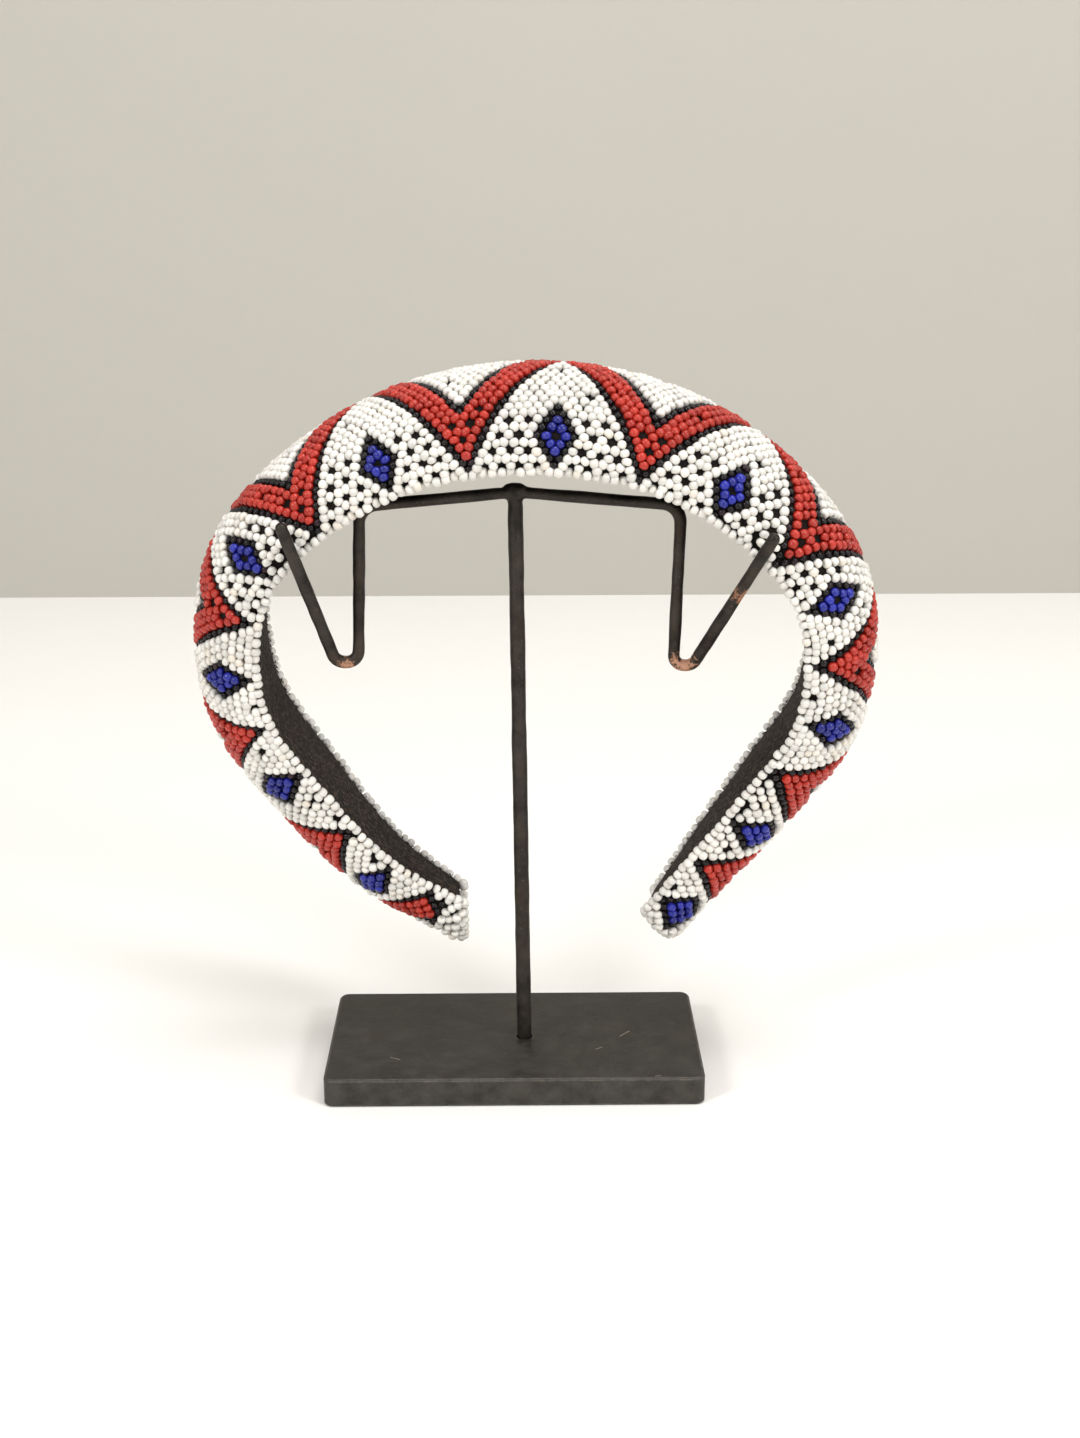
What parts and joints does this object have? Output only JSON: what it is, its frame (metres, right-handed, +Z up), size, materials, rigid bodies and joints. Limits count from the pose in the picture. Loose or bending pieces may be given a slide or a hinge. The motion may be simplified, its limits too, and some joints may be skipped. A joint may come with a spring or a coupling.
{
  "type": "beaded headband on display stand",
  "caption": "Padded horseshoe headband with a netted seed-bead face in a red zigzag and blue diamond pattern, hung on a small welded iron stand with two hooks.",
  "frame": {"origin": "centre of the base plate's underside, on the surface it stands on", "axes": "+Z up, +X to the viewer's right across the band, -Y towards the viewer of the front; the zigzag's crown runs round the band in the X-Z plane"},
  "size_m": [0.1658, 0.0522, 0.1774],
  "materials": {
    "iron": "blackened iron plate and rod, worn brown at the bends and edges",
    "pad_cloth": "black cloth over padding",
    "lining_cloth": "plain woven black lining",
    "white_beads": "opaque glossy white glass seed beads",
    "red_beads": "opaque glossy coral-red glass seed beads",
    "blue_beads": "opaque glossy cobalt-blue glass seed beads"
  },
  "bodies": {
    "root": {"band_lining": "lining_cloth", "band_pad": "pad_cloth", "bead_end_left": "white_beads", "bead_end_right": "white_beads", "blue_diamond_back_01": "blue_beads", "blue_diamond_back_03": "blue_beads", "blue_diamond_back_05": "blue_beads", "blue_diamond_back_07": "blue_beads", "blue_diamond_back_09": "blue_beads", "blue_diamond_back_11": "blue_beads", "blue_diamond_back_13": "blue_beads", "blue_diamond_back_15": "blue_beads", "blue_diamond_back_17": "blue_beads", "blue_diamond_back_19": "blue_beads", "blue_diamond_back_21": "blue_beads", "blue_diamond_front_02": "blue_beads", "blue_diamond_front_04": "blue_beads", "blue_diamond_front_06": "blue_beads", "blue_diamond_front_08": "blue_beads", "blue_diamond_front_10": "blue_beads", "blue_diamond_front_12": "blue_beads", "blue_diamond_front_14": "blue_beads", "blue_diamond_front_16": "blue_beads", "blue_diamond_front_18": "blue_beads", "blue_diamond_front_20": "blue_beads", "blue_diamond_front_22": "blue_beads", "red_zigzag": "red_beads", "stand_base": "iron", "stand_frame": "iron", "white_ground_back": "white_beads", "white_ground_front": "white_beads"}
  },
  "joints": []
}
